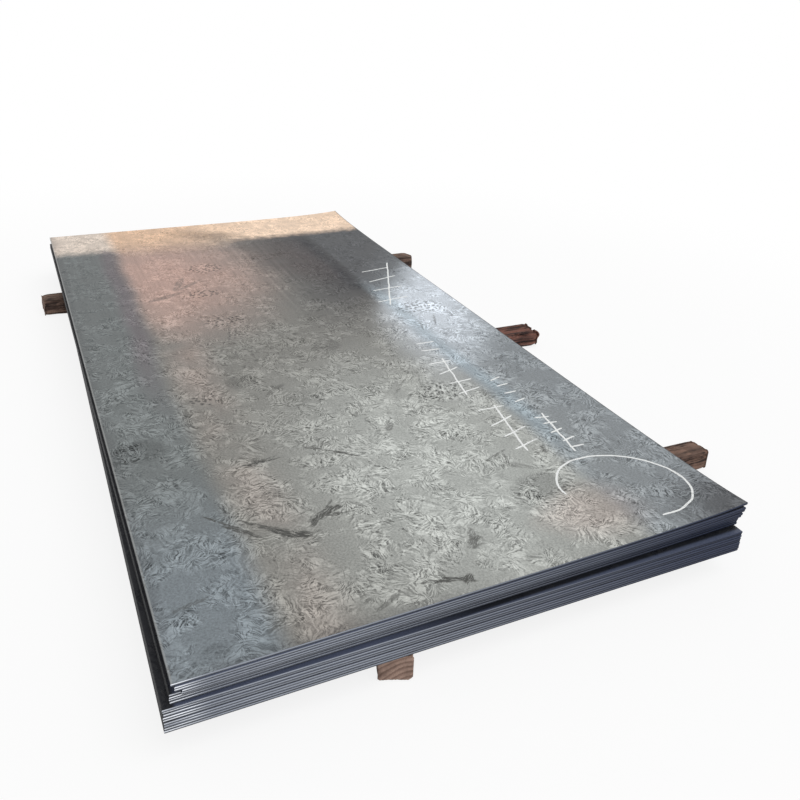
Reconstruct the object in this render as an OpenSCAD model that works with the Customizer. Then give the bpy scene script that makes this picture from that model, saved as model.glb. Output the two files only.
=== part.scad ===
// Stack of hot-rolled steel plates, lying on timber bearers.
// +X runs across the plates, +Y along them from the front to the back, +Z up.
// The origin is on the ground, under the middle of the top plate.

/* [Plates] */
// Width of a plate, across the stack
plate_w = 1250; // [1000:10:1500]
// Length of a plate, from front to back
plate_l = 2500; // [2000:10:3000]
// Thickness of a plate
plate_t = 6; // [4:0.5:12]

/* [Edges] */
// Radius that the shear blade rolls over along the upper edge of a plate's end
roll_r = 0.8; // [0.4:0.1:1.2]
// Height of the bright land that the blade cuts, below the rolled edge
land_h = 1.8; // [1:0.1:2.4]
// How far the torn part below the land falls back at the underside
tear_back = 0.4; // [0.2:0.1:0.8]
// How far the rolled mill edge along a plate's side bulges
mill_bulge = 1.2; // [0.4:0.1:2]

/* [Stacking] */
// Plates in the lower pack
lower_count = 9; // [4:1:12]
// How much wider the lower pack's plates are than the top one
lower_extra = 8; // [0:1:20]
// Slip of the lower pack to the right of the top plate
lower_slip_x = 4; // [-20:1:20]
// Slip of the lower pack towards the back
lower_slip_y = -2; // [-20:1:20]
// Turn of the lower pack in plan, anticlockwise from above, in degrees
lower_turn = -0.7; // [-1:0.1:1]
// Farthest that a plate lies out of line with the others of its lift
scatter = 1.2; // [0:0.1:3]

/* [Bearers] */
// Height of every bearer, from the ground to the lowest plate
bearer_h = 60; // [50:5:100]
// Length of the bearers at mid length and near the front
bearer_l = 1500; // [1300:10:1700]
// Length of the bearer near the back
far_l = 1540; // [1300:10:1700]
// Width of the bearer near the back
far_w = 82; // [70:1:130]
// Width of the split bearer at mid length
mid_w = 96; // [70:1:120]
// Width of the bearer near the front
near_w = 66; // [60:1:100]
// Clear distance from the back edge of the plates to the far bearer
far_setback = 347; // [250:1:500]
// Clear distance from the front edge of the plates to the near bearer
near_setback = 340; // [310:5:500]
// How far the middle line of the mid bearer lies in front of the origin
mid_forward = 16; // [0:1:40]
// How far the middle of the far bearer lies to the right of the origin
far_slip = 76; // [0:2:100]
// The same for the mid bearer
mid_slip = 156; // [50:2:200]
// The same for the near bearer
near_slip = 125; // [50:1:160]
// Turn of the far bearer in plan, anticlockwise from above, in degrees
far_turn = 1.1; // [-2:0.1:2]

/* [Front block] */
// Width of the block under the front edge
block_w = 70; // [60:1:80]
// Length of the block, inwards from its front face
block_l = 240; // [150:10:260]
// Turn of the block in plan, anticlockwise from above, in degrees
block_turn = -20; // [-25:1:0]
// Place of the block's front face to the right of the plates' middle
block_x = -221; // [-400:1:0]
// How far the middle of that face stands back from the top plate's edge
block_in = 8; // [0:1:20]

/* [Timber] */
// Width of the eased corners along a sawn timber
ease = 4; // [2:1:8]
// Width of the wane, where bark fell off a corner
wane = 16; // [8:1:20]
// Mouth of a drying split at a timber's end
split_mouth = 5; // [3:1:8]
// Length of the splits in the far and near bearers
split_l = 190; // [100:10:300]
// Length of the split that opens the mid bearer
mid_split_l = 420; // [200:10:600]
// Slope of that split, down towards the back, in degrees
mid_lean = 37; // [20:1:50]
// How much shorter the slab above the split is at the right end
mid_step = 4; // [2:1:40]

/* [Hidden] */
// Lifts of the upper pack from the top down: plates, slip to the right, slip to the back, extra width
upper_lifts = [[1, 0, 0, 0], [2, 1, -1, -10], [2, 3, 0, -26], [4, -4, 10, -4]];
// Every plate's slips, turn and extra width, from the top down
plate_lays = concat(
    [for (lift = upper_lifts) for (i = [1:lift[0]]) [lift[1], lift[2], 0, lift[3]]],
    [for (i = [1:lower_count]) [lower_slip_x, lower_slip_y, lower_turn, lower_extra]]
);
plate_count = len(plate_lays);
stack_h = plate_count * plate_t;
// Scatter of each plate, none on the top one
scatter_x = concat([0], rands(-scatter, scatter, plate_count - 1, 7));
scatter_y = concat([0], rands(-scatter, scatter, plate_count - 1, 11));
// Anything longer than the stack, for cuts that pass right through
past = 4 * (plate_l + far_l);
steel = "#8a8f92";
timber_brown = "#6b5140";

plate_names = concat(["top_plate"], [for (i = [2:plate_count]) str("plate_", i < 10 ? "0" : "", i)]);

// Section of a plate from one sheared end to the other, from z = 0 up
module sheared_section() {
    torn_h = plate_t - roll_r - land_h;
    half = plate_l / 2;
    polygon([
        [-half + tear_back, 0], [half - tear_back, 0],
        [half, torn_h], [half, plate_t - roll_r],
        for (a = [30:30:90]) [half - roll_r + roll_r * cos(a), plate_t - roll_r + roll_r * sin(a)],
        for (a = [90:30:150]) [-half + roll_r + roll_r * cos(a), plate_t - roll_r + roll_r * sin(a)],
        [-half, plate_t - roll_r], [-half, torn_h]
    ]);
}

// Section of a plate from one rolled side to the other
module rolled_section(w) {
    half = w / 2 - mill_bulge;
    polygon([
        for (a = [-90:30:90]) [half + mill_bulge * cos(a), plate_t / 2 * (1 + sin(a))],
        for (a = [90:30:270]) [-half + mill_bulge * cos(a), plate_t / 2 * (1 + sin(a))]
    ]);
}

// One plate, its underside at z = 0, with rolled sides and sheared ends
module steel_plate(w) {
    intersection() {
        rotate([90, 0, 0])
            linear_extrude(2 * plate_l, center = true) rolled_section(w);
        rotate([90, 0, 90])
            linear_extrude(2 * plate_w, center = true) sheared_section();
    }
}

// Plate number i, counted from 0 at the top, where it lies in the stack
module stacked_plate(i) {
    lay = plate_lays[i];
    color(steel)
        translate([lay[0] + scatter_x[i], lay[1] + scatter_y[i], bearer_h + stack_h - (i + 1) * plate_t])
            rotate([0, 0, lay[2]]) steel_plate(plate_w + lay[3]);
}

// Timber along X, on the ground and centred on the origin in plan, inside a plan outline.
// cut holds the widths taken off its corners: front bottom, back bottom, back top, front top.
module timber(w, cut) {
    half = w / 2;
    intersection() {
        rotate([90, 0, 90])
            linear_extrude(past, center = true)
                polygon([
                    [-half, cut[0]], [-half + cut[0], 0], [half - cut[1], 0], [half, cut[1]],
                    [half, bearer_h - cut[2]], [half - cut[2], bearer_h],
                    [-half + cut[3], bearer_h], [-half, bearer_h - cut[3]]
                ]);
        linear_extrude(past, center = true) children();
    }
}

// Plan outline of a sawn timber: length, width, and how far each end is out of square
module sawn_outline(l, w, skew_left, skew_right) {
    polygon([
        [-l / 2 + skew_left, -w], [l / 2 - skew_right, -w],
        [l / 2 + skew_right, w], [-l / 2 - skew_left, w]
    ]);
}

// Wedge of air that opens towards +X at the origin and runs back along -X
module end_split(l, mouth) {
    rotate([90, 0, 0])
        linear_extrude(past, center = true)
            polygon([[-l, 0], [l, -mouth], [l, mouth]]);
}

module far_bearer() {
    end = far_l / 2;
    color(timber_brown)
        translate([far_slip, plate_l / 2 - far_setback - far_w / 2, 0])
            rotate([0, 0, far_turn])
                difference() {
                    timber(far_w, [ease, ease, ease, wane])
                        // rounded by weather at the right end
                        intersection() {
                            sawn_outline(far_l, far_w, 3, 0);
                            union() {
                                translate([-past, -far_w]) square([past + end - far_w / 2, 2 * far_w]);
                                translate([end - 0.8 * far_w, 0]) circle(r = 0.8 * far_w, $fn = 96);
                            }
                        }
                    translate([end, 0, 0.45 * bearer_h]) end_split(split_l, split_mouth / 2);
                }
}

module mid_bearer() {
    color(timber_brown)
        translate([mid_slip, -mid_forward, 0])
            difference() {
                timber(mid_w, [wane, ease, ease, wane]) sawn_outline(bearer_l, mid_w, 6, -8);
                // slab at the upper back, parted by a split and broken off short
                translate([bearer_l / 2, mid_w / 5, 0.65 * bearer_h])
                    rotate([-mid_lean, 0, 0]) {
                        end_split(mid_split_l, split_mouth);
                        translate([-mid_step, -past, 0]) cube([past, 2 * past, past]);
                    }
            }
}

module near_bearer() {
    color(timber_brown)
        translate([near_slip, -plate_l / 2 + near_setback + near_w / 2, 0])
            difference() {
                timber(near_w, [ease, ease, ease, ease]) sawn_outline(bearer_l, near_w, 4, -8);
                translate([bearer_l / 2, 0, 0.8 * bearer_h])
                    rotate([65, 0, 0]) end_split(split_l, split_mouth / 2);
            }
}

// Short block on end grain, just under the front edge of the stack
module front_block() {
    color(timber_brown)
        translate([block_x, -plate_l / 2 + block_in, 0])
            rotate([0, 0, block_turn - 90])
                translate([-block_l / 2, 0, 0])
                    timber(block_w, [ease, 2 * ease, ease, ease]) sawn_outline(block_l, block_w, 3, 0);
}

for (i = [0:plate_count - 1])
    stacked_plate(i);
far_bearer();
mid_bearer();
near_bearer();
front_block();
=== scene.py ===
import math
import random

import bmesh
import bpy
import numpy as np
from mathutils import Matrix, Vector, noise


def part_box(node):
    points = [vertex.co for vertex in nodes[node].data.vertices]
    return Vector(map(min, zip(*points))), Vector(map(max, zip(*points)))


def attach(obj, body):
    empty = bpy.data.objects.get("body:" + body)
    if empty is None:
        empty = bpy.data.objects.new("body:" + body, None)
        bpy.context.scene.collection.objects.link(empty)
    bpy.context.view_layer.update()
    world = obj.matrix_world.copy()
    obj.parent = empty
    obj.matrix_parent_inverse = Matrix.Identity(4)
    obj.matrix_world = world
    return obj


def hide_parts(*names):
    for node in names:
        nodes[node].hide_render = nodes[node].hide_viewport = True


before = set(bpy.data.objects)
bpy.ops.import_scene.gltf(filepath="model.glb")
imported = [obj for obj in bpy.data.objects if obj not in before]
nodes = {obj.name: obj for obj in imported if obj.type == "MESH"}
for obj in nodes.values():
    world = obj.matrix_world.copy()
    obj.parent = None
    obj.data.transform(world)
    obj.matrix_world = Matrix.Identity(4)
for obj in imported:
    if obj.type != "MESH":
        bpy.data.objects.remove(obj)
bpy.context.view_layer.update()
plateNames = sorted(name for name in nodes if "plate" in name)
topLow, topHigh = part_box("top_plate")
plateThick = topHigh.z - topLow.z
stackFoot = min(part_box(name)[0].z for name in plateNames)
print("frame:", len(plateNames), "plates and", len(nodes) - len(plateNames), "timbers")


# shader helpers

class Wire:  # one socket of a shader, usable in sums
    def __init__(self, sheet, socket):
        self.sheet = sheet
        self.socket = socket

    def also(self, output):  # another output of the same node
        return Wire(self.sheet, self.socket.node.outputs[output])

    def maths(self, operation, first, second=0.0):
        return self.sheet.node("ShaderNodeMath", {"operation": operation}, {0: first, 1: second})

    def __add__(self, other):
        return self.maths("ADD", self, other)

    def __radd__(self, other):
        return self.maths("ADD", other, self)

    def __sub__(self, other):
        return self.maths("SUBTRACT", self, other)

    def __rsub__(self, other):
        return self.maths("SUBTRACT", other, self)

    def __mul__(self, other):
        return self.maths("MULTIPLY", self, other)

    def __rmul__(self, other):
        return self.maths("MULTIPLY", other, self)

    def __truediv__(self, other):
        return self.maths("DIVIDE", self, other)

    def __rtruediv__(self, other):
        return self.maths("DIVIDE", other, self)

    def __pow__(self, other):
        return self.maths("POWER", self, other)

    def __abs__(self):
        return self.maths("ABSOLUTE", self)

    def most(self, other):
        return self.maths("MAXIMUM", self, other)

    def rise(self, low, high):  # 0 below low, 1 above high, smooth between
        sockets = {"Value": self, "From Min": low, "From Max": high}
        return self.sheet.node("ShaderNodeMapRange", {"interpolation_type": "SMOOTHSTEP"}, sockets)

    def fall(self, low, high):
        return 1 - self.rise(low, high)

    def near(self, level, reach):  # 1 at the level, 0 at reach from it
        return abs(self - level).fall(0.0, reach)


class Sheet:  # one node tree, with a single way to add a node
    def __init__(self, tree):
        self.tree = tree
        self.tree.nodes.clear()

    def node(self, kind, settings, sockets, out=0):
        made = self.tree.nodes.new(kind)
        for key, value in settings.items():
            if key == "stops":
                setStops(made.color_ramp, value)
            else:
                setattr(made, key, value)
        for key, value in sockets.items():
            if isinstance(value, Wire):
                self.tree.links.new(value.socket, made.inputs[key])
            else:
                made.inputs[key].default_value = value
        return Wire(self, made.outputs[out]) if made.outputs else None

    def mix(self, base, over, amount, how="MIX"):
        settings = {"data_type": "RGBA", "blend_type": how}
        return self.node("ShaderNodeMix", settings, {0: amount, 6: base, 7: over}, out=2)

    def vector(self, operation, first, second):
        return self.node("ShaderNodeVectorMath", {"operation": operation}, {0: first, 1: second})

    def noise(self, place, scale, detail=2.0, rough=0.5, dimensions="3D"):
        sockets = {"Vector": place, "Scale": scale, "Detail": detail, "Roughness": rough}
        return self.node("ShaderNodeTexNoise", {"noise_dimensions": dimensions}, sockets)

    def flatNoise(self, place, scale, detail=2.0, rough=0.5):  # over a flat face, quicker to work out
        return self.noise(place, scale, detail, rough, "2D")

    def grain(self, place, factors, detail=2.0, rough=0.5):  # noise drawn out along an axis
        return self.noise(self.vector("MULTIPLY", place, factors), 1.0, detail, rough)

    def flatGrain(self, place, factors, detail=2.0, rough=0.5):
        return self.flatNoise(self.vector("MULTIPLY", place, factors), 1.0, detail, rough)

    def flatCells(self, place, scale):  # cells round random points of a flat face
        sockets = {"Vector": place, "Scale": scale}
        return self.node("ShaderNodeTexVoronoi", {"voronoi_dimensions": "2D"}, sockets)

    def warped(self, place, scale, reach):  # the place pushed about by up to reach
        push = self.noise(place, scale, 2.0).also("Color")
        push = self.vector("SUBTRACT", push, (0.5, 0.5, 0.5))
        return self.vector("ADD", place, self.vector("MULTIPLY", push, (2 * reach, 2 * reach, 2 * reach)))

    def local(self, place, centre, reach=(1, 1, 1), turn=0.0):  # into a frame of its own
        spin = (0, 0, math.radians(turn))
        sockets = {"Vector": place, "Location": centre, "Rotation": spin, "Scale": reach}
        return self.node("ShaderNodeMapping", {"vector_type": "TEXTURE"}, sockets)

    def patch(self, place, centre, reach, turn=0.0):  # 1 at the centre, 0 at the rim of an ellipse
        own = self.local(place, (*centre, 0), (*reach, 1e3), turn)
        return self.node("ShaderNodeTexGradient", {"gradient_type": "SPHERICAL"}, {0: own}, out=1)

    def parts(self, vector, axes="XYZ"):
        first = self.node("ShaderNodeSeparateXYZ", {}, {0: vector})
        return [first.also(axis) for axis in axes]

    def ramp(self, value, stops):
        return self.node("ShaderNodeValToRGB", {"stops": stops}, {0: value})

    def place(self):
        return self.node("ShaderNodeTexCoord", {}, {}, out="Object")

    def facing(self):
        return self.node("ShaderNodeNewGeometry", {}, {}, out="True Normal")


def setStops(colourRamp, stops):
    while len(colourRamp.elements) > 1:
        colourRamp.elements.remove(colourRamp.elements[-1])
    for index, (position, colour) in enumerate(stops):
        element = colourRamp.elements.new(position) if index else colourRamp.elements[0]
        element.position = position
        element.color = colour


def tint(code):  # a colour as seen on screen, as scene-linear values
    parts = [int(code[i:i + 2], 16) / 255 for i in (1, 3, 5)]
    linear = [c / 12.92 if c <= 0.04045 else ((c + 0.055) / 1.055) ** 2.4 for c in parts]
    return (*linear, 1.0)


def newMaterial(name):
    material = bpy.data.materials.new(name)
    material.use_nodes = True
    return material, Sheet(material.node_tree)


def dress(piece, material):
    piece.data.materials.clear()
    piece.data.materials.append(material)


def newPiece(name, mesh):
    piece = bpy.data.objects.new(name, mesh)
    bpy.context.scene.collection.objects.link(piece)
    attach(piece, "root")
    return piece


# camera

cameraLook = {
    "eye": (-0.7546, -2.2722, 1.2192),
    "yaw": 26.349,  # degrees to the right of straight along the plates
    "pitch": 22.745,  # degrees down
    "roll": 2.566,
    "lens": 37.06,
    "sensor": 36.0,
    "drop": 0.1,  # share of the picture by which its middle lies below the lens's axis
}


def placeCamera(look):
    camera = bpy.data.objects.new("camera", bpy.data.cameras.new("camera"))
    camera.data.lens = look["lens"]
    camera.data.sensor_width = look["sensor"]
    camera.data.shift_y = -look["drop"]
    yaw = Matrix.Rotation(-math.radians(look["yaw"]), 4, "Z")
    pitch = Matrix.Rotation(math.radians(90 - look["pitch"]), 4, "X")
    roll = Matrix.Rotation(math.radians(look["roll"]), 4, "Z")
    camera.matrix_world = Matrix.Translation(look["eye"]) @ yaw @ pitch @ roll
    bpy.context.scene.collection.objects.link(camera)
    bpy.context.scene.camera = camera


placeCamera(cameraLook)
print("camera placed")


# plates: hot-rolled mill scale on the faces, with painted reflections, shade and sunlight

plateLook = {
    "colours": {
        "middle": "#7b7a75",
        "leftBand": "#6b7070",
        "leftNear": "#788085",
        "rightBand": "#80868a",
        # light: painted reflection of the sky over the near half
        "light": "#acafab",
        "pink": "#c6a598",
        "plum": "#67565d",
        "dark": "#363538",
        # dark: painted reflection of dark surroundings on the far right and painted shade on the bent
        # corner; also the dark margins and rim
        "bright": "#dde5ee",
        # bright: painted reflection of the sky along the divide
        "blue": "#98a9b3",
        # the next three colours are painted sunlight on the back end
        "sunlit": "#eed2b8",
        "sunlitMiddle": "#dab799",
        "sunlitLeft": "#d3c5b8",
        "smear": "#3a3a37",
        # wear: the rubbed left edge, with a painted highlight along its rounded rim
        "wear": "#c2c3c0",
        "umber": "#4d403e",
        # ledge: painted shade on the steps under the plate above; also the navy line's tint
        "ledge": "#15171d",
        "ledgeFront": "#4b5266",
        # the sheared ends go from endLeft to endRight as a painted reflection that darkens to the right
        "endLeft": "#888d97",
        "endRight": "#2d3448",
        # burr: bright sheared burr with a painted glint
        "burrGlint": "#e4e8ee",
        # longEdgeScaleAndShade: dark mill edge, with painted shade on the long sides
        "longEdgeScaleAndShade": "#1a1b1d",
    },
    # bands along the plate: where their seams fade, m across
    "leftSeam": (-0.462, -0.398),
    "leftShift": 0.02,  # how far the left seam lies to the right in the far half
    "rightSeam": (0.325, 0.395),
    "seamWander": 0.024,
    "divide": {"through": (0.35, 0.0), "lean": 50.6},  # line between the painted dark and bright reflections, degrees from +X
    # tints along the seams: m across, half width, strength
    "navyLine": (0.35, 0.05, 0.75),
    "blueLine": (0.395, 0.05, 0.5),
    "pinkLine": (-0.348, 0.1, 0.12),
    "pinkFar": 0.18,  # added to the pink tint's strength in the far half
    "plumLine": (-0.462, 0.05, 0.45),
    # soft zones of tone: centre, reach, turn in degrees, level of full tone, strength
    "zones": {
        # light is a painted reflection of the sky
        "light": ((0.10, -0.88), (0.62, 0.96), -8, 0.9, 1.0),
        "pink": ((-0.30, 0.66), (0.54, 0.76), 0, 0.9, 1.0),
        "umber": ((0.20, 0.72), (0.20, 0.44), 12, 0.7, 0.5),
        # painted shade on the bent-up corner
        "bentCornerShade": ((topHigh.x, topLow.y), (0.24, 0.22), 0, 0.8, 0.75),
        "blush": ((0.30, -1.13), (0.17, 0.12), 0, 0.8, 0.22),
        # a painted shadow lying diagonally across the painted sunlight
        "sunlitShadow": ((-0.02, 1.08), (0.26, 0.10), -34, 0.8, 0.42),
    },
    # stretches over which a tone comes or goes, m across
    "across": {
        "dark": (0.0, 0.34),
        "bright": (0.2, 0.5),
        # the next three shape the painted sunlight
        "softSunStart": (-0.44, -0.34),
        "softSunEnd": (-0.05, 0.15),
        "paleSun": (-0.22, 0.25),
        "streakStart": (-0.1, 0.1),
        "streakEnd": (0.3, 0.4),
        "dullFront": (-0.2, 0.0),
        "ledgeFront": (-0.3, 0.0),
        "ledgeSide": (-0.626, -0.616),
    },
    # the same, m along
    "along": {
        "leftShift": (-0.2, 0.4),
        "leftNear": (-1.1, -0.6),
        "dimReflection": (-0.4, 0.6),
        "blueStart": (-1.05, -0.7),
        "blueEnd": (0.1, 0.4),
        "pink": (-0.6, 0.4),
        "plum": (-0.5, 0.1),
        "busy": (-0.5, 0.9),
        "outlines": (-0.2, 0.4),
        "streakStart": (-0.1, 0.6),
        "streakEnd": (0.9, 1.0),
        "ledgeFront": (-1.22, -1.2),
    },
    # the same, m past the divide
    "past": {
        "dark": (0.0, 0.28),
        "brightStart": (-0.42, -0.08),
        "brightEnd": (-0.01, 0.16),
        "navy": (0.05, 0.25),
    },
    "rightLoss": {"light": 0.7, "dark": 0.2},  # share of a tone that is lost in the right band
    # waves to the metre and reach of what pushes things about
    "warps": {"zones": (5.0, 0.05), "marks": (55.0, 0.006), "islands": (40.0, 0.01)},
    # painted sunlight at the back end, a pale warm strip: m along, fades before and after, added where it
    # is soft, raggedness
    "sunlit": {"start": 1.0, "before": 0.05, "after": 0.04, "soft": 0.10, "ragged": 0.06,
             "shade": (0.72, 0.52)},  # all over, and added by its crumbs
    # noises: grains to the metre, detail, roughness
    "broad": (2.4, 3.0, 0.5),
    "mottle": (10.0, 6.0, 0.62),
    "grit": (210.0, 3.0, 0.7),
    "crumbs": (30.0, 5.0, 0.65),
    "islands": (24.0, 2.0, 0.5),
    "rolled": (70, 1.5, 1),  # streaks along the plate, grains to the metre on each axis
    # levels of the mottle at which things show
    "levels": {"strokes": (0.35, 0.55), "flakes": (0.47, 0.53), "outlines": (0.42, 0.56)},
    # depth of shade that each thing gives
    "shades": {
        "mottle": 0.34,
        "flakes": 0.12,
        "grit": 1.0,
        "rounds": 0.22,
        "drops": 0.7,
        "outlines": (0.08, 0.24),  # all over, and added in the far half
        "rolled": (0.1, 0.3, 0.35),  # all over, added in the far half, and added in its streaky part
        # how much the painted reflection darkens the back end
        "farDimReflection": 0.22,
    },
    "rough": {"base": 0.52, "mottle": 0.3, "strokes": 0.5, "smear": 0.12},
    "relief": {"mottle": 0.3, "grit": 0.2, "strength": 0.3, "depth": 0.0005},
    # edges of the face: width and strength of the rubbed left edge with its painted highlight, the dark
    # right rim and the dull margins
    "rub": (0.005, 0.4),
    "rim": (0.005, 0.7),
    "dull": {"left": 0.035, "front": 0.03, "strength": 0.3},
    # strokes in the scale: patch size, strokes to a radian, length as a share of the patch, depth of shade
    "strokes": [
        {"patch": 0.080, "lines": 14.0, "run": 1.0, "shade": 0.30, "seed": 3.0},
        {"patch": 0.052, "lines": 15.0, "run": 1.0, "shade": 0.54, "seed": 8.0},
        {"patch": 0.031, "lines": 10.0, "run": 1.0, "shade": 0.70, "seed": 14.0},
    ],
    # how a patch of strokes fans out
    "fan": {
        "waves": 1.3,  # bends to a patch
        "sway": 0.38,  # reach of the bends, as a share of the patch
        "pivot": 0.6,  # least distance to the fan's pivot, in patches
        "apart": 50,  # steps in the noise from one patch to the next
        "uneven": 0.08,
        "edge": (0.455, 0.545),  # levels of the noise between dark and light
        "shown": (0.05, 0.6),  # lots over which a patch comes in
    },
    # oil smears: centre, half length, half width, turn in degrees, strength
    "smears": [
        ((-0.436, -0.888), 0.082, 0.005, -49, 0.9),
        ((-0.418, -0.918), 0.060, 0.005, -47, 0.9),
        ((-0.370, -0.918), 0.070, 0.006, -40, 0.9),
        ((-0.356, -0.936), 0.068, 0.007, -42, 0.9),
        ((-0.330, -0.956), 0.062, 0.013, -34, 1.0),
        ((-0.318, -0.966), 0.040, 0.013, -14, 0.9),
        ((-0.262, -0.934), 0.046, 0.007, 44, 0.8),
        ((-0.246, -0.922), 0.044, 0.012, 30, 0.9),
        ((-0.228, -0.916), 0.038, 0.011, 14, 0.9),
        ((-0.232, -0.930), 0.034, 0.006, -10, 0.8),
        ((-0.226, -0.900), 0.030, 0.005, 54, 0.8),
        ((-0.312, -0.682), 0.062, 0.005, 2, 0.9),
        ((-0.300, -0.674), 0.040, 0.004, 8, 0.6),
        ((-0.178, -0.668), 0.026, 0.006, -35, 0.9),
        ((-0.150, -0.658), 0.020, 0.004, 60, 0.7),
        ((-0.118, -0.716), 0.056, 0.005, -40, 0.8),
        ((-0.104, -1.203), 0.058, 0.006, -14, 0.9),
        ((-0.078, -1.212), 0.040, 0.007, -32, 0.9),
        ((-0.062, -1.216), 0.020, 0.013, 40, 0.9),
        ((-0.230, -1.215), 0.044, 0.006, 24, 0.6),
        ((-0.215, -1.206), 0.034, 0.004, 30, 0.5),
        ((0.005, -1.125), 0.030, 0.016, 35, 0.7),
        ((0.012, -1.098), 0.022, 0.010, 70, 0.6),
        ((-0.028, -1.114), 0.010, 0.006, 0, 0.8),
        ((0.035, -0.645), 0.026, 0.012, 50, 0.6),
        ((0.082, -0.256), 0.012, 0.008, 0, 0.8),
        ((-0.455, -0.245), 0.006, 0.005, 0, 1.0),
        ((-0.425, -0.458), 0.022, 0.006, -50, 0.8),
        ((-0.190, -0.285), 0.028, 0.004, -70, 0.5),
        ((-0.172, -0.352), 0.048, 0.012, 38, 0.5),
        ((-0.248, 0.540), 0.085, 0.016, 66, 0.5),
        ((-0.215, 0.520), 0.080, 0.012, 40, 0.5),
        ((-0.312, 0.430), 0.085, 0.016, 24, 0.5),
        ((-0.190, 0.060), 0.085, 0.005, 75, 0.5),
        ((-0.172, 0.050), 0.070, 0.004, 70, 0.4),
        ((0.215, -0.860), 0.044, 0.005, 20, 0.6),
        ((0.232, -0.880), 0.030, 0.006, 70, 0.5),
        ((0.240, -0.915), 0.050, 0.012, -36, 0.4),
        ((-0.430, -1.190), 0.028, 0.007, 35, 0.5),
        ((-0.560, -1.085), 0.046, 0.007, 12, 0.5),
        ((0.340, -0.880), 0.022, 0.007, 80, 0.6),
        ((0.470, -0.060), 0.050, 0.005, 68, 0.6),
        ((0.405, -0.090), 0.045, 0.005, 75, 0.5),
        ((0.160, -0.450), 0.075, 0.005, 48, 0.4),
    ],
    # streaks inside the smears: degrees to either side, grains to the metre, levels that show
    "wipe": {"lean": 40, "grains": (40, 300, 1), "shown": (0.33, 0.53)},
    # dull rounds: centre, reach
    "rounds": [
        ((0.060, -0.130), (0.052, 0.048)),
        ((-0.125, -0.430), (0.062, 0.058)),
        ((-0.245, -0.275), (0.048, 0.046)),
        ((-0.560, -0.540), (0.070, 0.060)),
        ((0.250, -1.010), (0.090, 0.060)),
        ((-0.540, -1.210), (0.028, 0.022)),
    ],
    # prints of wet drops: centre, reach
    "prints": [
        ((-0.125, 0.680), (0.085, 0.070)),
        ((-0.360, -0.340), (0.055, 0.050)),
        ((0.245, -0.520), (0.075, 0.075)),
        ((0.470, 0.060), (0.110, 0.070)),
        ((-0.190, 0.420), (0.090, 0.045)),
        ((-0.180, 0.160), (0.085, 0.050)),
    ],
    "dropsToMetre": 70.0,
}
tones = {name: tint(value) for name, value in plateLook["colours"].items()}


def together(marks):  # the strongest of several masks
    total = marks[0]
    for mark in marks[1:]:
        total = total.most(mark)
    return total


def fanStrokes(sheet, place, layer, fan):  # brush-like strokes that fan out across random patches
    size = layer["patch"]
    moved = sheet.vector("ADD", place, (layer["seed"], 1.7 * layer["seed"], 0))
    moved = sheet.warped(moved, fan["waves"] / size, fan["sway"] * size)
    cell = sheet.flatCells(moved, 1 / size)
    first, second, third = sheet.parts(cell.also("Color"))  # three lots drawn for each patch
    own = sheet.vector("SUBTRACT", moved, cell.also("Position"))
    sockets = {"Vector": own, "Angle": first * (2 * math.pi)}
    spun = sheet.node("ShaderNodeVectorRotate", {"rotation_type": "Z_AXIS"}, sockets)
    u, v = sheet.parts(spun, "XY")
    u = u + size * (fan["pivot"] + second)
    angle = u.maths("ARCTAN2", v, u)
    radius = (u * u + v * v) ** 0.5
    along = radius / (size * layer["run"]) + first * fan["apart"]
    polar = {0: angle * layer["lines"] + third * fan["apart"], 1: along}
    lines = sheet.flatNoise(sheet.node("ShaderNodeCombineXYZ", {}, polar), 1.0, 2.0, 0.5)
    stroke = (lines + (second - 0.5) * fan["uneven"]).rise(*fan["edge"]) - 0.5
    return stroke * third.rise(*fan["shown"])


def seamTint(value, line):
    level, half, strength = line
    return value.near(level, half) * strength


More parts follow.
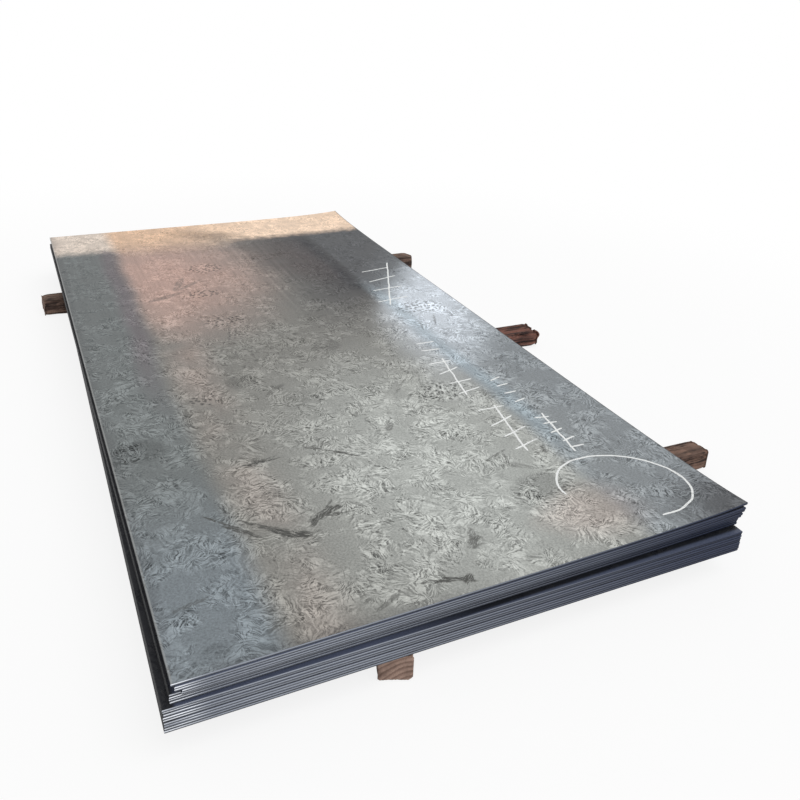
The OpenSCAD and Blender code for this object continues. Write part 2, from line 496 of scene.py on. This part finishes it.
def scaleColourAndPaintedLight(sheet, place, broad, look):  # broad colours of the scale with painted reflections, shade and sunlight, as they lie on the top plate
    across, along, pastDivide = look["across"], look["along"], look["past"]
    x, y = sheet.parts(place, "XY")
    uneven = sheet.warped(place, *look["warps"]["zones"])
    ux, uy = sheet.parts(uneven, "XY")

    def zone(name):
        centre, reach, turn, full, strength = look["zones"][name]
        return sheet.patch(uneven, centre, reach, turn).rise(0.0, full) * strength

    wavy = x + (broad - 0.5) * (2 * look["seamWander"])
    fromLeft = wavy - look["leftShift"] * y.rise(*along["leftShift"])
    leftBand = fromLeft.fall(*look["leftSeam"])
    rightBand = wavy.rise(*look["rightSeam"])
    px, py = look["divide"]["through"]
    lean = math.radians(look["divide"]["lean"])
    past = (uy - py) * math.cos(lean) - (ux - px) * math.sin(lean)

    loss = look["rightLoss"]
    colour = sheet.mix(tones["middle"], tones["rightBand"], rightBand)
    # painted reflection of the sky, paler over the near half
    colour = sheet.mix(colour, tones["light"], zone("light") * (1 - loss["light"] * rightBand))
    colour = sheet.mix(colour, tones["pink"], zone("pink"))
    # painted reflection of dark surroundings past the divide
    dark = past.rise(*pastDivide["dark"]) * ux.rise(*across["dark"])
    colour = sheet.mix(colour, tones["dark"], dark * (1 - loss["dark"] * rightBand))
    colour = sheet.mix(colour, tones["umber"], zone("umber"))
    # painted reflection of the sky, a band before the divide on the right
    bright = past.rise(*pastDivide["brightStart"]) * past.fall(*pastDivide["brightEnd"])
    colour = sheet.mix(colour, tones["bright"], bright * ux.rise(*across["bright"]))
    # painted shade on the bent-up front right corner
    colour = sheet.mix(colour, tones["dark"], zone("bentCornerShade"))
    leftTone = sheet.mix(tones["leftBand"], tones["leftNear"], y.fall(*along["leftNear"]))
    colour = sheet.mix(colour, leftTone, leftBand)
    # painted reflection: the scale darker towards the back end
    dimReflection = 1 - look["shades"]["farDimReflection"] * y.rise(*along["dimReflection"])
    colour = sheet.mix(colour, dimReflection, 1.0, "MULTIPLY")

    # tints where the bands meet
    navy = seamTint(wavy, look["navyLine"]) * past.rise(*pastDivide["navy"])
    colour = sheet.mix(colour, tones["ledge"], navy)
    blue = seamTint(wavy, look["blueLine"]) * y.fall(*along["blueEnd"]) * y.rise(*along["blueStart"])
    colour = sheet.mix(colour, tones["blue"], blue)
    pinkAt, pinkHalf, pinkNear = look["pinkLine"]
    pinkLine = fromLeft.near(pinkAt, pinkHalf) * broad.rise(0.35, 0.6)
    pinkLine = pinkLine * (pinkNear + look["pinkFar"] * y.rise(*along["pink"]))
    colour = sheet.mix(colour, tones["pink"], pinkLine)
    colour = sheet.mix(colour, tones["pink"], zone("blush"))
    plum = seamTint(fromLeft, look["plumLine"]) * y.rise(*along["plum"])
    colour = sheet.mix(colour, tones["plum"], plum)

    # painted sunlight along the back end, with a ragged front that is soft left of the middle
    sunlit = look["sunlit"]
    plain, crumbled = sunlit["shade"]
    crumbs = sheet.flatNoise(place, *look["crumbs"])
    ragged = y + (crumbs - 0.5) * sunlit["ragged"]
    soft = ux.rise(*across["softSunStart"]) * ux.fall(*across["softSunEnd"]) * sunlit["soft"]
    sunlitMask = ragged.rise(sunlit["start"] - sunlit["before"] - soft, sunlit["start"] + sunlit["after"] + soft)
    sunlitTone = sheet.mix(tones["sunlitMiddle"], tones["sunlit"], ux.rise(*across["paleSun"]))
    sunlitTone = sheet.mix(sunlitTone, tones["sunlitLeft"], leftBand)
    # speckled, and darkened where a painted shadow lies diagonally across the painted sunlight
    sunlitTone = sheet.mix(sunlitTone, plain + crumbs * crumbled - zone("sunlitShadow"), 1.0, "MULTIPLY")
    return sheet.mix(colour, sunlitTone, sunlitMask)


def scaleMarks(sheet, place, look):  # smears of oil, dull rounds and prints of drops
    bent = sheet.warped(place, *look["warps"]["marks"])
    wipe = look["wipe"]
    falling, rising = [], []
    for centre, length, width, turn, strength in look["smears"]:
        mask = sheet.patch(bent, centre, (length, width), turn).rise(0.0, 0.35) * strength
        (falling if turn < 0 else rising).append(mask)
    brushed = []
    for lean, masks in ((-wipe["lean"], falling), (wipe["lean"], rising)):
        streaks = sheet.flatGrain(sheet.local(bent, (0, 0, 0), turn=lean), wipe["grains"], 3.0, 0.65)
        brushed.append(together(masks) * streaks.rise(*wipe["shown"]))
    rounds = [sheet.patch(bent, centre, reach).rise(0.0, 0.3) for centre, reach in look["rounds"]]
    prints = [sheet.patch(bent, centre, reach).rise(0.05, 0.4) for centre, reach in look["prints"]]
    dots = sheet.flatCells(bent, look["dropsToMetre"]).fall(0.15, 0.5) - 0.2
    return together(brushed), together(rounds), together(prints) * dots


def millScale(sheet, place, look):
    x, y, z = sheet.parts(place)
    across, along, levels, shades = look["across"], look["along"], look["levels"], look["shades"]
    broad, mottle, grit = [sheet.flatNoise(place, *look[name]) for name in ("broad", "mottle", "grit")]
    rolled = sheet.flatGrain(place, look["rolled"], 3.0)
    colour = scaleColourAndPaintedLight(sheet, place, broad, look)
    smear, rounds, drops = scaleMarks(sheet, place, look)

    strokes = 0
    for layer in look["strokes"]:
        strokes = fanStrokes(sheet, place, layer, look["fan"]) * layer["shade"] + strokes
    busy = (y.fall(*along["busy"]) * 0.6 + 0.4) * mottle.rise(*levels["strokes"])
    strokes = strokes * busy
    flakes = mottle.rise(*levels["flakes"]) - 0.5
    islands = sheet.flatNoise(sheet.warped(place, *look["warps"]["islands"]), *look["islands"])
    outlines = islands.near(0.5, 0.05) * mottle.rise(*levels["outlines"])
    shade = 1 + strokes + (mottle - 0.5) * shades["mottle"]
    shade = shade + flakes * shades["flakes"] + (grit - 0.5) * shades["grit"]
    outlined, outlinedFar = shades["outlines"]
    shade = shade - rounds * shades["rounds"] - drops * shades["drops"]
    shade = shade - outlines * (outlined + outlinedFar * y.rise(*along["outlines"]))
    streaked, streakedFar, streakedMost = shades["rolled"]
    farHalf = y.rise(*along["streakStart"]) * y.fall(*along["streakEnd"])
    streaky = x.rise(*across["streakStart"]) * x.fall(*across["streakEnd"])
    shade = shade + (rolled - 0.5) * (streaked + farHalf * (streakedFar + streakedMost * streaky))
    colour = sheet.mix(colour, shade, 1.0, "MULTIPLY")
    colour = sheet.mix(colour, tones["smear"], smear)

    # edges of the face
    fromLeft, fromRight, fromFront = x - topLow.x, topHigh.x - x, y - topLow.y
    rub, rubbed = look["rub"]
    # rubbed left edge, with a painted highlight along its rounded rim
    colour = sheet.mix(colour, tones["wear"], fromLeft.fall(rub / 2, rub) * rubbed)
    dull = look["dull"]
    dullFront = fromFront.fall(0.0, dull["front"]) * x.fall(*across["dullFront"])
    margin = fromLeft.fall(0.0, dull["left"]).most(dullFront)
    colour = sheet.mix(colour, tones["dark"], margin * dull["strength"])
    rim, rimDark = look["rim"]
    colour = sheet.mix(colour, tones["dark"], fromRight.fall(rim / 2, rim) * rimDark)

    # steps of the plates below, in painted shade under the plate above but for the ledge along the front
    toFront = fromFront.fall(-0.004, 0.004).most(x.fall(*across["ledgeFront"]))
    toFront = toFront * y.fall(*along["ledgeFront"]) * x.rise(*across["ledgeSide"])
    ledge = sheet.mix(tones["ledge"], tones["ledgeFront"], toFront)
    colour = sheet.mix(ledge, colour, z.rise(topLow.z, topHigh.z))

    rough, relief = look["rough"], look["relief"]
    height = strokes + mottle * relief["mottle"] + grit * relief["grit"]
    sockets = {"Strength": relief["strength"], "Distance": relief["depth"], "Height": height}
    roughness = rough["base"] + (mottle - 0.5) * rough["mottle"]
    return sheet.node("ShaderNodeBsdfPrincipled", {}, {
        "Base Color": colour,
        "Roughness": roughness - strokes * rough["strokes"] - smear * rough["smear"],
        "Normal": sheet.node("ShaderNodeBump", {}, sockets),
        "Specular IOR Level": 0.3,
    })


# plates: sheared ends and dark long edges, with painted reflection, glints and shade

edgeLook = {
    "land": ((0.45, 0.6), (0.85, 0.95)),  # start and end of the bright land, as shares of the thickness
    "gapShade": ((0.05, 0.22), (0.9, 1.0)),  # painted shade in the gaps at a plate's underside and top
    "endReflectionFade": (-0.5, 0.62),  # m across, from the left tone to the right one, a painted reflection that darkens to the right
    "burrGlint": (0.008, 0.07),  # distance from the left corner over which the bright burr and its painted glint go
    "torn": (700, 700, 90),  # grains to the metre on each axis
    "streak": (9, 9, 500),
    "shades": {"base": 0.5, "land": 0.85, "lot": 0.4, "torn": 0.6, "streak": 0.9, "gapShade": 0.65},
    "rough": {"base": 0.62, "land": 0.15, "torn": 0.2},
}


def cutEdges(sheet, place, look):
    shades, rough = look["shades"], look["rough"]
    x, z = sheet.parts(place, "XZ")
    sideways = abs(sheet.parts(sheet.facing(), "X")[0])
    level = (z - stackFoot) / plateThick
    within = level.maths("FRACT", level)
    plate = {"W": level.maths("FLOOR", level)}
    lot = sheet.node("ShaderNodeTexWhiteNoise", {"noise_dimensions": "1D"}, plate)  # one for each plate
    torn = sheet.grain(place, look["torn"], 2.0)
    streak = sheet.grain(place, look["streak"], 4.0, 0.6)
    landStart, landEnd = look["land"]
    land = within.rise(*landStart) * within.fall(*landEnd)
    # painted reflection: the sheared ends darken from left to right
    colour = sheet.mix(tones["endLeft"], tones["endRight"], x.rise(*look["endReflectionFade"]))
    # bright burrs at the left corner, with a painted glint
    burrGlint = (x - topLow.x).fall(*look["burrGlint"]) * land
    colour = sheet.mix(colour, tones["burrGlint"], burrGlint * streak.rise(0.35, 0.6))
    # long sides: dark mill edge with painted shade
    colour = sheet.mix(colour, tones["longEdgeScaleAndShade"], sideways.rise(0.5, 0.8))
    # painted shade in the gaps between the plates
    underside, top = look["gapShade"]
    gapShade = within.fall(*underside).most(within.rise(*top))
    shade = shades["base"] + land * shades["land"] + (lot - 0.5) * shades["lot"]
    shade = shade + (torn - 0.5) * shades["torn"] * (1 - land) + (streak - 0.5) * shades["streak"]
    shade = shade * (1 - shades["gapShade"] * gapShade)
    return sheet.node("ShaderNodeBsdfPrincipled", {}, {
        "Base Color": sheet.mix(colour, shade, 1.0, "MULTIPLY"),
        "Roughness": rough["base"] - land * rough["land"] + (torn - 0.5) * rough["torn"],
        "Specular IOR Level": 0.12,
    })


def plateSteel(name, flatPlace=""):
    material, sheet = newMaterial(name)
    place = sheet.place()
    if flatPlace:
        place = sheet.node("ShaderNodeAttribute", {"attribute_name": flatPlace}, {}, out="Vector")
    upright = abs(sheet.parts(sheet.facing(), "Z")[0])
    edges = cutEdges(sheet, place, edgeLook)
    faces = millScale(sheet, place, plateLook)
    shader = sheet.node("ShaderNodeMixShader", {}, {0: upright.rise(0.55, 0.85), 1: edges, 2: faces})
    sheet.node("ShaderNodeOutputMaterial", {}, {"Surface": shader})
    return material


steel = plateSteel("mill_scale")
for name in plateNames:
    dress(nodes[name], steel)
print("plates dressed")


# upper plates: the right corners have been bent up in handling

bendLook = {
    "rise": 0.014,  # of the top plate's corners
    "fade": 0.15,  # distance over which the rise dies away
    "cutOff": 0.02,  # share of the rise taken off, so that the rest lies flat
    "shares": {"top_plate": 1.0, "plate_02": 0.66, "plate_03": 0.64, "plate_04": 0.5, "plate_05": 0.48,
               "plate_06": 0.36, "plate_07": 0.34, "plate_08": 0.32, "plate_09": 0.3},
    # distances from the corners at which the faces are cut, so that they can bend
    "cuts": [0.015, 0.035, 0.06, 0.09, 0.125, 0.165, 0.21, 0.265, 0.33, 0.41, 0.5],
    "sharp": 20.0,  # degrees
}


def cornerRise(x, y, look):
    along = (topHigh.x - x) + (topHigh.y - abs(y))
    return look["rise"] * max(0.0, math.exp(-max(along, 0.0) / look["fade"]) - look["cutOff"])


def bendPlate(name, share, look):
    shape = bmesh.new()
    shape.from_mesh(nodes[name].data)
    planes = [((topHigh.x - cut, 0, 0), (1, 0, 0)) for cut in look["cuts"]]
    planes += [((0, side * (topHigh.y - cut), 0), (0, 1, 0)) for cut in look["cuts"] for side in (-1, 1)]
    for spot, normal in planes:
        everything = shape.verts[:] + shape.edges[:] + shape.faces[:]
        bmesh.ops.bisect_plane(shape, geom=everything, plane_co=spot, plane_no=normal)
    flat = shape.verts.layers.float_vector.new("flat")  # where the steel lay, for its finish
    for vert in shape.verts:
        vert[flat] = vert.co
        vert.co.z += share * cornerRise(vert.co.x, vert.co.y, look)
    mesh = bpy.data.meshes.new(name + "_bent")
    shape.to_mesh(mesh)
    shape.free()
    mesh.shade_smooth()
    mesh.set_sharp_from_angle(angle=math.radians(look["sharp"]))
    piece = newPiece(name + "_bent", mesh)
    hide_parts(name)
    return piece


bentSteel = plateSteel("bent_mill_scale", "flat")
for name, share in bendLook["shares"].items():
    dress(bendPlate(name, share, bendLook), bentSteel)
print(len(bendLook["shares"]), "plates bent at the corners")


# timber: weathered bearers and the block under the front edge

# turn is in degrees, and the depths of furrows, dents, cracks, frayed and rounded ends are in m
timberLooks = {
    "far_bearer": {
        "turn": 1.1, "seed": 3.0, "voxel": 0.0028,
        "furrow": 0.0022, "dent": 0.0016, "crack": 0.004, "fray": 0.004, "round": 0.006,
        "dark": "#231916", "mid": "#524039", "light": "#80685c", "top": "#786558",
    },
    "mid_bearer": {
        "turn": 0.0, "seed": 11.0, "voxel": 0.0027,
        "furrow": 0.0075, "dent": 0.003, "crack": 0.006, "fray": 0.016, "round": 0.012,
        "dark": "#120c0b", "mid": "#3d2824", "light": "#80594e", "top": "#503731",
    },
    "near_bearer": {
        "turn": 0.0, "seed": 23.0, "voxel": 0.0025,
        "furrow": 0.0026, "dent": 0.0012, "crack": 0.005, "fray": 0.002, "round": 0.002,
        "dark": "#241a16", "mid": "#5a453c", "light": "#85695b", "top": "#6e5b50",
    },
    "front_block": {
        "turn": -110.0, "seed": 31.0, "voxel": 0.002,
        "furrow": 0.0010, "dent": 0.0010, "crack": 0.002, "fray": 0.0015, "round": 0.003,
        "dark": "#3b2c26", "mid": "#7a6256", "light": "#a98e80", "top": "#8a7264",
    },
}
weatherLook = {
    # waves to the metre along, across and up
    "furrows": (2.2, 46, 46),
    "dents": (9, 14, 14),
    "cracks": (1.3, 24, 24),
    "frays": (6, 42, 42),
    "furrowEdge": 2.2,  # how fast a furrow's sides rise
    "crackWidth": 0.09,  # half width of a crack, as a level of its waves
    "endLength": 0.03,  # m of each end that is frayed and rounded
}


def waves(spots, scale, seed):  # smooth noise at each spot, from -1 to 1
    shift = Vector((seed, 2 * seed, 3 * seed))
    return np.array([noise.noise(Vector(spot) + shift) for spot in spots * np.array(scale)])


def remeshed(name, look):
    holder = bpy.data.objects.new("holder", nodes[name].data.copy())
    bpy.context.scene.collection.objects.link(holder)
    grid = holder.modifiers.new("grid", "REMESH")
    grid.mode = "VOXEL"
    grid.voxel_size = look["voxel"]
    ease = holder.modifiers.new("ease", "SMOOTH")
    ease.factor = 0.5
    ease.iterations = 2
    solid = holder.evaluated_get(bpy.context.evaluated_depsgraph_get())
    mesh = bpy.data.meshes.new_from_object(solid)
    bpy.data.objects.remove(holder)
    return mesh


def weatherTimber(name, look, wear):  # furrows, dents, cracks and frayed ends, cut inwards only
    mesh = remeshed(name, look)
    count = len(mesh.vertices)
    spots = np.empty(3 * count)
    mesh.vertices.foreach_get("co", spots)
    spots = spots.reshape(-1, 3)
    outward = np.empty(3 * count, np.float32)
    mesh.vertex_normals.foreach_get("vector", outward)
    outward = outward.reshape(-1, 3)
    turn = math.radians(look["turn"])
    axis = np.array([math.cos(turn), math.sin(turn), 0.0])
    side = np.array([-math.sin(turn), math.cos(turn), 0.0])
    middle = (spots.min(0) + spots.max(0)) / 2
    own = np.stack([(spots - middle) @ axis, (spots - middle) @ side, spots[:, 2]], 1)
    half = own[:, 0].max()

    seed = look["seed"]
    flank = 1 - np.abs(outward @ axis)  # furrows run along the sides, not over the ends
    furrow = np.clip(1 - wear["furrowEdge"] * np.abs(waves(own, wear["furrows"], seed)), 0, 1) ** 2
    dent = np.clip(0.5 + waves(own, wear["dents"], seed + 1), 0, 1)
    crack = np.clip(1 - np.abs(waves(own, wear["cracks"], seed + 2)) / wear["crackWidth"], 0, 1)
    depth = flank * (look["furrow"] * furrow + look["crack"] * crack) + look["dent"] * dent
    toEnd = np.clip(1 - (half - np.abs(own[:, 0])) / wear["endLength"], 0, 1)
    depth += look["round"] * toEnd ** 2 * flank
    ragged = np.clip(0.5 + 0.9 * waves(own, wear["frays"], seed + 4), 0, 1)
    moved = spots - outward * depth[:, None]
    moved -= axis * (np.sign(own[:, 0]) * look["fray"] * ragged * toEnd)[:, None]
    low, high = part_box(name)
    moved[:, 2] = np.clip(moved[:, 2], low.z, high.z)
    mesh.vertices.foreach_set("co", moved.ravel())
    mesh.update()
    mesh.shade_smooth()

    piece = newPiece(name + "_wood", mesh)
    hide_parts(name)
    dress(piece, timberWood(name, look, woodGrain, middle))
    print(name, "weathered,", len(mesh.polygons), "faces")


woodGrain = {
    # grains to the metre along, across and up
    "fibre": (4, 190, 190),
    "figure": (1.6, 34, 34),
    "chips": (26, 75, 75),
    "checks": (2.5, 55, 55),
    "blotch": 16.0,
    "pores": 420.0,
    "shares": {"figure": 0.55, "fibre": 0.3, "blotch": 0.25},  # of the tone
    "levels": {"dark": 0.45, "mid": 0.53, "light": 0.62},  # of the tone at which each colour is full
    "checkWidth": 0.045,
    # waves to the metre and reach of what pushes the grain about
    "warps": {"figure": (6.0, 0.006), "checks": (9.0, 0.004), "ends": (30.0, 0.003)},
    "pith": (0.05, -0.09),  # across and up from the timber's middle
    "rings": 90,  # to the metre
    "relief": {"figure": 0.5, "fibre": 0.7, "ring": 0.3, "strength": 0.6, "depth": 0.0015},
}


def timberWood(name, look, grains, middle):
    material, sheet = newMaterial(name + "_wood")
    dark, mid, light, top = [tint(look[tone]) for tone in ("dark", "mid", "light", "top")]
    shares, levels, warps = grains["shares"], grains["levels"], grains["warps"]
    own = sheet.local(sheet.place(), tuple(middle), turn=look["turn"])
    shift = sheet.vector("ADD", own, (look["seed"], 0, 0))
    fibre = sheet.grain(shift, grains["fibre"], 4.0, 0.65)
    figure = sheet.grain(sheet.warped(shift, *warps["figure"]), grains["figure"], 4.0, 0.6)
    blotch = sheet.noise(shift, grains["blotch"], 4.0, 0.6)
    tone = figure * shares["figure"] + fibre * shares["fibre"] + blotch * shares["blotch"]
    colour = sheet.ramp(tone, [(levels["dark"], dark), (levels["mid"], mid), (levels["light"], light)])
    nx, ny, nz = sheet.parts(sheet.facing())
    # upward faces lighter: weathered wood, with painted light on the tops
    colour = sheet.mix(colour, top, nz.rise(0.5, 0.95) * blotch.rise(0.3, 0.65) * 0.6)
    chips = sheet.grain(shift, grains["chips"], 3.0, 0.6)
    colour = sheet.mix(colour, light, chips.rise(0.54, 0.62) * 0.6)
    checks = sheet.grain(sheet.warped(shift, *warps["checks"]), grains["checks"], 3.0, 0.6)
    colour = sheet.mix(colour, dark, checks.near(0.5, grains["checkWidth"]) * 0.85)

    # end grain, with rings round a pith that lies outside the timber
    turn = math.radians(look["turn"])
    ending = abs(nx * math.cos(turn) + ny * math.sin(turn)).rise(0.75, 0.95)
    v, w = sheet.parts(sheet.warped(own, *warps["ends"]), "YZ")
    pithAcross, pithUp = grains["pith"]
    outFrom = ((v - pithAcross) ** 2.0 + (w - pithUp) ** 2.0) ** 0.5 * grains["rings"]
    ring = outFrom.maths("FRACT", outFrom)
    ringTone = sheet.mix(light, mid, ring.rise(0.2, 0.8) * ring.fall(0.85, 1.0) * 0.8)
    pores = sheet.noise(own, grains["pores"], 2.0).rise(0.55, 0.7)
    ringTone = sheet.mix(ringTone, dark, (pores * 0.5).most(blotch.fall(0.35, 0.52) * 0.6))
    colour = sheet.mix(colour, ringTone, ending)
    relief = grains["relief"]
    height = figure * relief["figure"] + fibre * relief["fibre"] - ring * ending * relief["ring"]
    sockets = {"Strength": relief["strength"], "Distance": relief["depth"], "Height": height}
    shader = sheet.node("ShaderNodeBsdfPrincipled", {}, {
        "Base Color": colour,
        "Roughness": 0.78 + (fibre - 0.5) * 0.3,
        "Normal": sheet.node("ShaderNodeBump", {}, sockets),
        "Specular IOR Level": 0.25,
    })
    sheet.node("ShaderNodeOutputMaterial", {}, {"Surface": shader})
    return material


for name, look in timberLooks.items():
    weatherTimber(name, look, weatherLook)


# chalk marks: plain tally strokes and a ring

chalkLook = {
    "width": 0.0052,
    "crown": 0.0004,  # height of the chalk at the middle of a line
    "foot": 0.1,  # share of that height at which a line's edges lie, clear of the steel
    "step": 0.004,
    "seed": 5,
    "shake": 0.0022,
    "shakeStep": 0.11,  # steps of the shake's noise from point to point
    "fuzz": 0.35,  # share of the width that comes and goes
    "fuzzStep": 0.9,
    "jitter": {"across": 0.004, "along": 0.006, "lean": 0.008},  # of the tallies
    # arcs of the ring are in degrees, and overlap
    "ring": {"centre": (0.425, -1.075), "reach": (0.152, 0.122), "turn": -28.0,
             "arcs": [(206, 18), (36, -66)], "steps": 72},
    # groups of tallies: first stroke's middle, step between strokes, stroke vector, count
    "tallies": [
        ((0.315, -0.845), (0.004, 0.062), (0.078, 0.012), 4),
        ((0.325, -0.540), (0.003, 0.060), (0.072, 0.014), 4),
        ((0.345, -0.265), (0.006, 0.052), (0.060, 0.010), 2),
        ((0.425, -0.900), (0.001, 0.040), (0.040, 0.004), 5),
        ((0.430, -0.640), (0.000, 0.044), (0.038, 0.006), 4),
        ((0.420, 0.150), (0.022, 0.105), (0.120, 0.030), 4),
    ],
    "slashes": [
        ((0.300, -0.870), (0.345, -0.640)),
        ((0.305, -0.565), (0.350, -0.335)),
        ((0.410, -0.915), (0.440, -0.725)),
        ((0.385, 0.110), (0.560, 0.520)),
    ],
    "dusty": "#d9dcdc",
    "white": "#f4f5f3",
}


def ringArc(ring, first, last):
    turn = math.radians(ring["turn"])
    line = []
    for step in range(ring["steps"] + 1):
        angle = math.radians(first + (last - first) * step / ring["steps"])
        u = ring["reach"][0] * math.cos(angle)
        v = ring["reach"][1] * math.sin(angle)
        line.append((ring["centre"][0] + u * math.cos(turn) - v * math.sin(turn),
                     ring["centre"][1] + u * math.sin(turn) + v * math.cos(turn)))
    return line


def chalkLines(look):
    draw = random.Random(look["seed"])
    jitter = look["jitter"]
    lines = [ringArc(look["ring"], first, last) for first, last in look["ring"]["arcs"]]
    for start, step, stroke, count in look["tallies"]:
        for index in range(count):
            x = start[0] + step[0] * index + draw.uniform(-jitter["across"], jitter["across"])
            y = start[1] + step[1] * index + draw.uniform(-jitter["along"], jitter["along"])
            dx = stroke[0] / 2
            dy = stroke[1] / 2 + draw.uniform(-jitter["lean"], jitter["lean"])
            lines.append([(x - dx, y - dy), (x + dx, y + dy)])
    return lines + [list(slash) for slash in look["slashes"]]


def resample(line, step):
    points = [Vector((*line[0], 0))]
    for start, end in zip(line, line[1:]):
        a = Vector((*start, 0))
        b = Vector((*end, 0))
        count = max(1, round((b - a).length / step))
        points += [a.lerp(b, i / count) for i in range(1, count + 1)]
    return points


def chalkMesh(look):
    verts = []
    faces = []
    foot = look["crown"] * look["foot"]
    for number, line in enumerate(chalkLines(look)):
        points = resample(line, look["step"])
        last = len(points) - 1
        base = len(verts)
        for index, point in enumerate(points):
            ahead = points[min(index + 1, last)] - points[max(index - 1, 0)]
            side = Vector((-ahead.y, ahead.x, 0)).normalized()
            wave = noise.noise(Vector((index * look["shakeStep"], number * 7.3, 0)))
            fuzz = 1 + look["fuzz"] * noise.noise(Vector((index * look["fuzzStep"], number * 3.1, 5)))
            taper = min(1, 0.6 + 0.25 * min(index, last - index))  # towards both ends
            half = look["width"] / 2 * fuzz * taper
            middle = point + side * look["shake"] * wave
            for offset, rise in ((half, foot), (0.0, look["crown"]), (-half, foot)):
                spot = middle + side * offset
                verts.append((spot.x, spot.y, topHigh.z + rise + cornerRise(spot.x, spot.y, bendLook)))
        for index in range(last):
            a = base + 3 * index
            for i, j in ((0, 1), (1, 2), (2, 0)):
                faces.append((a + i, a + j, a + 3 + j, a + 3 + i))
        end = base + 3 * last
        faces.append((base + 2, base + 1, base))
        faces.append((end, end + 1, end + 2))
    mesh = bpy.data.meshes.new("chalk_marks")
    mesh.from_pydata(verts, [], faces)
    mesh.update()
    return mesh


def chalkPaint(look):
    material, sheet = newMaterial("chalk")
    place = sheet.place()
    skips = sheet.noise(place, 320.0, 3.0, 0.7)
    worn = sheet.noise(place, 14.0, 2.0)
    shader = sheet.node("ShaderNodeBsdfPrincipled", {}, {
        "Base Color": sheet.mix(tint(look["dusty"]), tint(look["white"]), skips),
        "Roughness": 0.95,
        "Alpha": (skips + worn * 0.5).rise(0.42, 0.68),
        "Specular IOR Level": 0.1,
    })
    sheet.node("ShaderNodeOutputMaterial", {}, {"Surface": shader})
    return material


chalk = newPiece("chalk_marks", chalkMesh(chalkLook))
dress(chalk, chalkPaint(chalkLook))
print("chalk marks drawn,", len(chalk.data.polygons), "faces")


# floor, backdrop and light

stageLook = {
    "floor": 90.0,  # length of a side
    "floorColour": "#ececec",
    "floorWhite": 0.84,  # share of plain white that the camera sees in the floor by the stack
    "clear": (1.4, 3.2),  # distance from the middle over which the floor turns all white
    "room": 0.6,  # level of the light from all round
    "white": 1.0,  # level of what shows as plain white
    "sun": {"from": (0.5, -0.7, 1.6), "strength": 1.45, "spread": 55.0},  # spread in degrees
}


def seenDirectly(sheet):  # rays that show the backdrop: camera, glossy and clear ones
    path = sheet.node("ShaderNodeLightPath", {}, {})
    return together([path.also(f"Is {kind} Ray") for kind in ("Camera", "Glossy", "Transmission")])


def makeFloor(look):
    half = look["floor"] / 2
    corners = [(-half, -half, 0), (half, -half, 0), (half, half, 0), (-half, half, 0)]
    mesh = bpy.data.meshes.new("floor")
    mesh.from_pydata(corners, [], [(0, 1, 2, 3)])
    floor = bpy.data.objects.new("floor", mesh)
    bpy.context.scene.collection.objects.link(floor)
    material, sheet = newMaterial("floor_white")
    matt = sheet.node("ShaderNodeBsdfDiffuse", {}, {"Color": tint(look["floorColour"])})
    glow = sheet.node("ShaderNodeEmission", {}, {"Color": (1, 1, 1, 1), "Strength": look["white"]})
    away = sheet.node("ShaderNodeVectorMath", {"operation": "LENGTH"}, {0: sheet.place()}, out="Value")
    white = look["floorWhite"] + (1 - look["floorWhite"]) * away.rise(*look["clear"])
    shader = sheet.node("ShaderNodeMixShader", {}, {0: seenDirectly(sheet) * white, 1: matt, 2: glow})
    sheet.node("ShaderNodeOutputMaterial", {}, {"Surface": shader})
    dress(floor, material)


def makeWorld(look):
    world = bpy.data.worlds.new("studio")
    bpy.context.scene.world = world
    world.use_nodes = True
    sheet = Sheet(world.node_tree)
    soft = sheet.node("ShaderNodeBackground", {}, {"Color": (1, 1, 1, 1), "Strength": look["room"]})
    white = sheet.node("ShaderNodeBackground", {}, {"Color": (1, 1, 1, 1), "Strength": look["white"]})
    shader = sheet.node("ShaderNodeMixShader", {}, {0: seenDirectly(sheet), 1: soft, 2: white})
    sheet.node("ShaderNodeOutputWorld", {}, {"Surface": shader})


def makeSun(look):
    sun = bpy.data.objects.new("sun", bpy.data.lights.new("sun", "SUN"))
    sun.data.energy = look["strength"]
    sun.data.angle = math.radians(look["spread"])
    sun.rotation_mode = "QUATERNION"
    sun.rotation_quaternion = Vector(look["from"]).to_track_quat("Z", "Y")
    bpy.context.scene.collection.objects.link(sun)


makeFloor(stageLook)
makeWorld(stageLook)
makeSun(stageLook["sun"])
bpy.context.scene.view_settings.view_transform = "Standard"
print("stage set")
